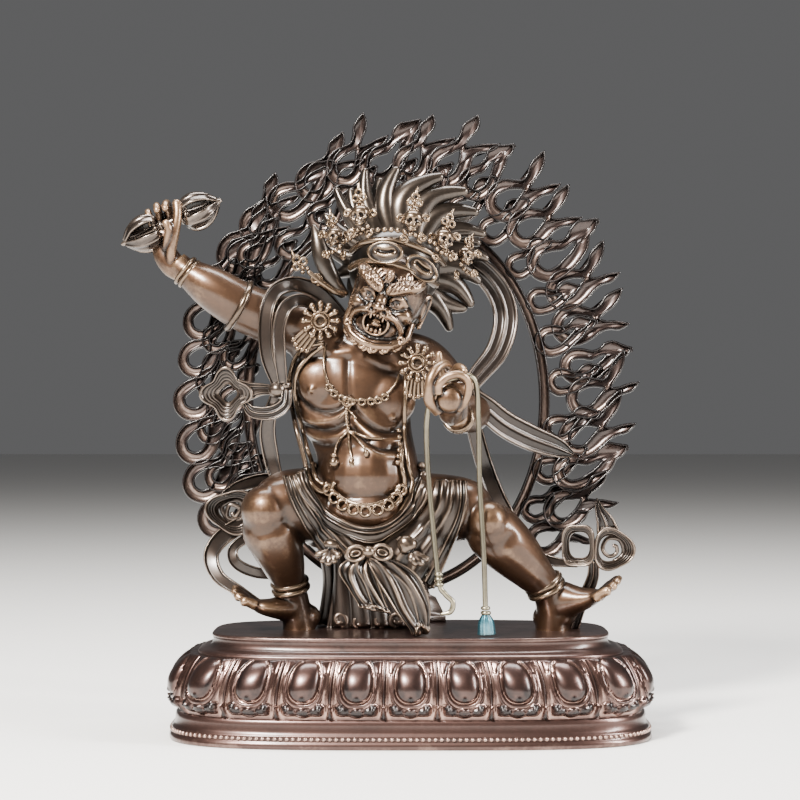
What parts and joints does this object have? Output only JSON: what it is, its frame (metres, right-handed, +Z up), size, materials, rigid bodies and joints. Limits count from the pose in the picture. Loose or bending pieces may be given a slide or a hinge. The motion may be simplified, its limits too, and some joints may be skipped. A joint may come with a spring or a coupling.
{
  "type": "copper guardian deity statue on a lotus plinth",
  "caption": "Small cast copper statue of a lunging wrathful guardian deity before an openwork ring of flames, holding a sceptre and a wire lasso, on a lotus petal plinth.",
  "frame": {"origin": "centre of the plinth's underside", "axes": "+Z up, +X to the right of someone facing the statue, +Y away from them, towards the flames"},
  "size_m": [0.0914, 0.0442, 0.1108],
  "materials": {
    "plinth_copper": "dark brown patina, burnished on the petals' bosses",
    "figure_copper": "brown patina with a waxed sheen, rubbed brighter on raised parts",
    "aureole_copper": "duller purplish brown patina",
    "lasso_wire": "greyer wire with a blue-green tassel"
  },
  "bodies": {
    "root": {"lotus_plinth": "plinth_copper", "figure": "figure_copper", "flame_aureole": "aureole_copper", "lasso": "lasso_wire"}
  },
  "joints": []
}
